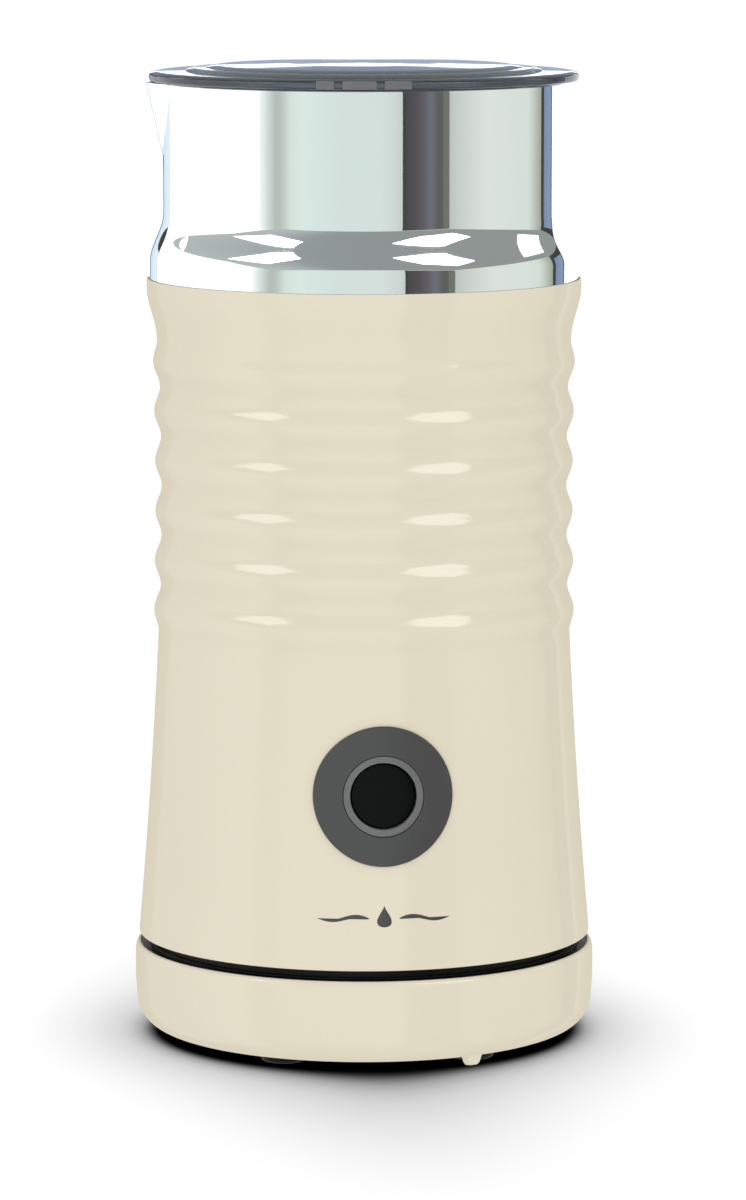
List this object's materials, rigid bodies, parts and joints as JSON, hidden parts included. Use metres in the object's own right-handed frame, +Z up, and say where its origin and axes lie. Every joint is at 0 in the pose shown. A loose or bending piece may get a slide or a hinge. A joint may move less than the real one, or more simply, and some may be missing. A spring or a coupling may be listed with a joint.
{
  "type": "milk frother",
  "caption": "Automatic milk frother: ribbed round jug with steel neck, clear lid, magnet-driven whisk and one push button, on a round cordless power base.",
  "frame": {"origin": "on the ground, under the middle of the round power base", "axes": "+Z up; the push button faces -Y and the pouring spout faces -X"},
  "size_m": [0.1, 0.1, 0.2109],
  "materials": {
    "cream_shell": "gloss, moulded",
    "black_plastic": "fine satin",
    "dark_trim": "satin",
    "black_gloss": "gloss",
    "light_guide": "frosted, translucent",
    "polished_steel": "mirror polished stainless steel",
    "nonstick": "non-stick coating",
    "clear_lid": "clear, slightly smoky",
    "silicone": "soft matt",
    "foot_rubber": "matt",
    "white_nylon": "natural nylon",
    "brass": "bright",
    "copper": "enamelled winding wire",
    "aluminium": "cast",
    "steel": "zinc plated",
    "magnet": "nickel plated",
    "ferrite": "sintered",
    "circuit_board": "solder resist",
    "component_blue": "moulded",
    "lead_sleeve": "silicone glass sleeve"
  },
  "bodies": {
    "power_base": {"base_shell": "cream_shell", "base_deck": "black_plastic", "base_bottom_cover": "black_plastic", "base_screws": "steel", "base_feet": "foot_rubber", "cord_gland": "black_plastic", "base_connector": "black_plastic", "base_contacts": "brass"},
    "coupler": {"jug_connector": "white_nylon", "connector_pin": "brass", "inner_contact_ring": "brass", "outer_contact_ring": "brass"},
    "jug": {"body_sleeve": "cream_shell", "chrome_collar": "polished_steel", "inner_pot": "nonstick", "pot_gasket": "silicone", "whisk_spindle": "steel", "heater_plate": "aluminium", "heating_element": "steel", "heater_leads": "lead_sleeve", "thermostat": "steel", "thermal_fuse": "white_nylon", "temperature_sensor": "brass", "motor_bracket": "steel", "bracket_screws": "steel", "motor_damper": "foot_rubber", "motor_can": "steel", "motor_end_cap": "black_plastic", "stator_magnets": "ferrite", "motor_bushes": "brass", "motor_brushes": "ferrite", "jug_bottom_cover": "black_plastic", "bottom_screws": "steel", "connector_clamp": "white_nylon", "control_board": "circuit_board", "relay": "component_blue", "transformer": "copper", "capacitor": "black_gloss", "button_bezel": "dark_trim", "light_ring": "light_guide", "button_board": "circuit_board", "status_leds": "white_nylon", "tact_switch": "black_plastic", "small_screws": "steel"},
    "lid": {"lid_cover": "clear_lid", "lid_seal": "silicone"},
    "button": {"button_cap": "black_gloss", "switch_plunger": "black_plastic"},
    "rotor": {"motor_shaft": "steel", "armature_core": "steel", "armature_windings": "copper", "commutator": "copper", "magnet_carrier": "white_nylon", "drive_magnets": "magnet"},
    "whisk_carrier": {"whisk_bush": "white_nylon"},
    "whisk": {"whisk_hub": "dark_trim", "whisk_coil": "steel", "whisk_magnets": "magnet", "whisk_cap": "dark_trim"}
  },
  "joints": [
    {"name": "jug_lift", "type": "slide", "parent": "power_base", "child": "coupler", "axis": [0, 0, 1], "range_m": [0, 0.06]},
    {"name": "jug_swivel", "type": "hinge", "parent": "coupler", "child": "jug", "pos_m": [0, 0, 0.03], "axis": [0, 0, 1], "continuous": true},
    {"name": "lid_lift", "type": "slide", "parent": "jug", "child": "lid", "axis": [0, 0, 1], "range_m": [0, 0.05]},
    {"name": "button_press", "type": "slide", "parent": "jug", "child": "button", "axis": [0, 1, 0], "range_m": [0, 0.0008], "stiffness_N_per_m": 1500, "springref_m": -0.0005},
    {"name": "rotor_spin", "type": "hinge", "parent": "jug", "child": "rotor", "pos_m": [0, 0, 0.067], "axis": [0, 0, 1], "continuous": true},
    {"name": "whisk_lift", "type": "slide", "parent": "jug", "child": "whisk_carrier", "axis": [0, 0, 1], "range_m": [0, 0.04]},
    {"name": "whisk_spin", "type": "hinge", "parent": "whisk_carrier", "child": "whisk", "pos_m": [0, 0, 0.103], "axis": [0, 0, 1], "continuous": true}
  ],
  "couplings": [
    {"joint": "whisk_spin", "follows": "rotor_spin", "ratio": 1}
  ]
}
